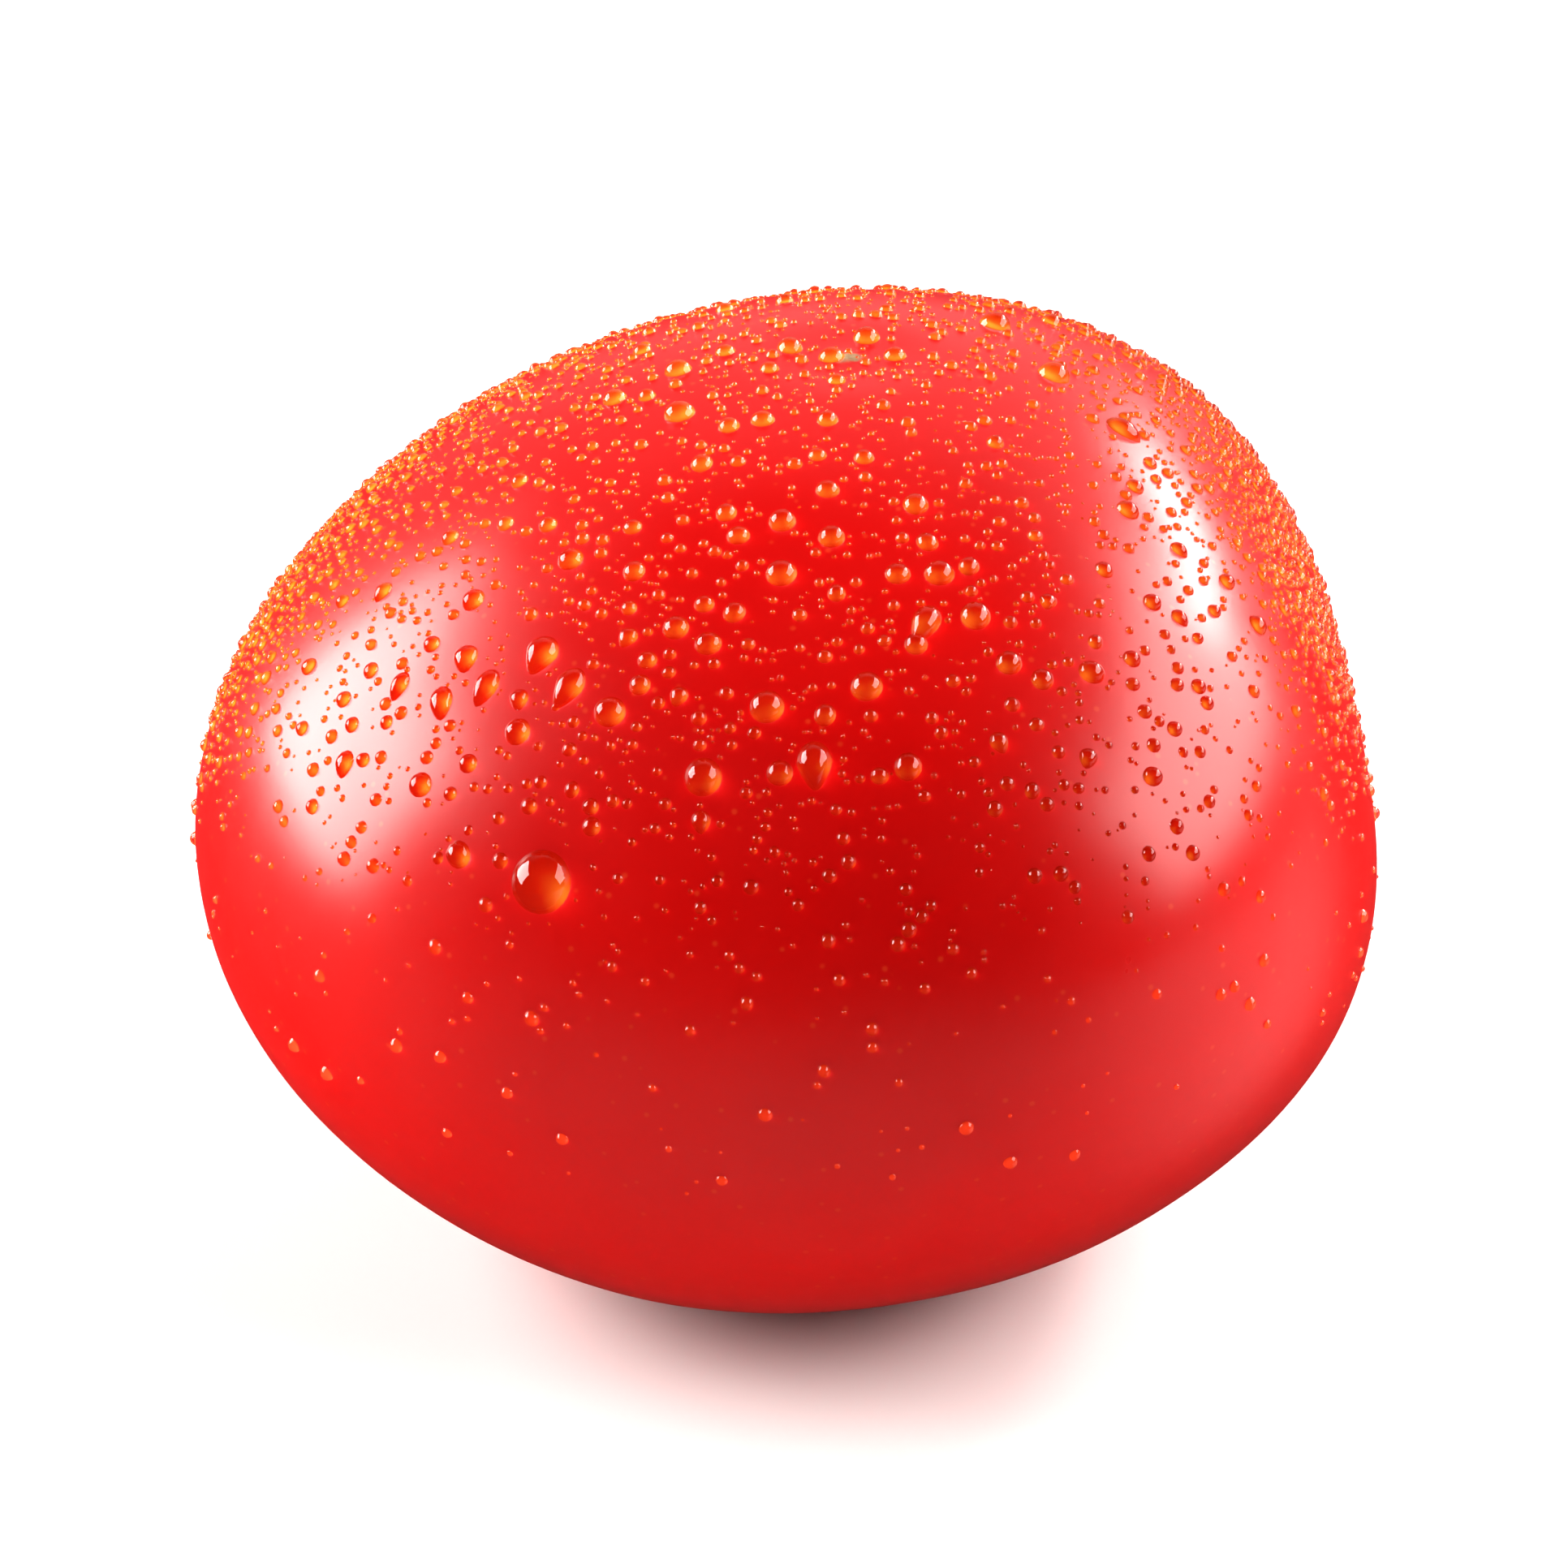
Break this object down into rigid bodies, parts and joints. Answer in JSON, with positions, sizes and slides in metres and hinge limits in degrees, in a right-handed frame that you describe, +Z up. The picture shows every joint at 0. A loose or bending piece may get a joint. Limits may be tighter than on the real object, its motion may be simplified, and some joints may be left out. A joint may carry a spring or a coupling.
{
  "type": "tomato",
  "caption": "Ripe round tomato with no calyx, slightly three-sided, standing on the shoulders around its stem dimple with its blossom end up.",
  "frame": {"origin": "centre of the underside of the bounding box, on the surface that the tomato stands on", "axes": "+Z up, from the stem end to the blossom end; +X to the flatter side, -Y to the side that faces the viewer"},
  "size_m": [0.0748, 0.0768, 0.0578],
  "materials": {
    "tomato_skin": "smooth waxy fruit skin, glossy",
    "water": "beads of clear water on the skin, which only the visual model has"
  },
  "bodies": {
    "root": {"tomato": "tomato_skin"}
  },
  "joints": []
}
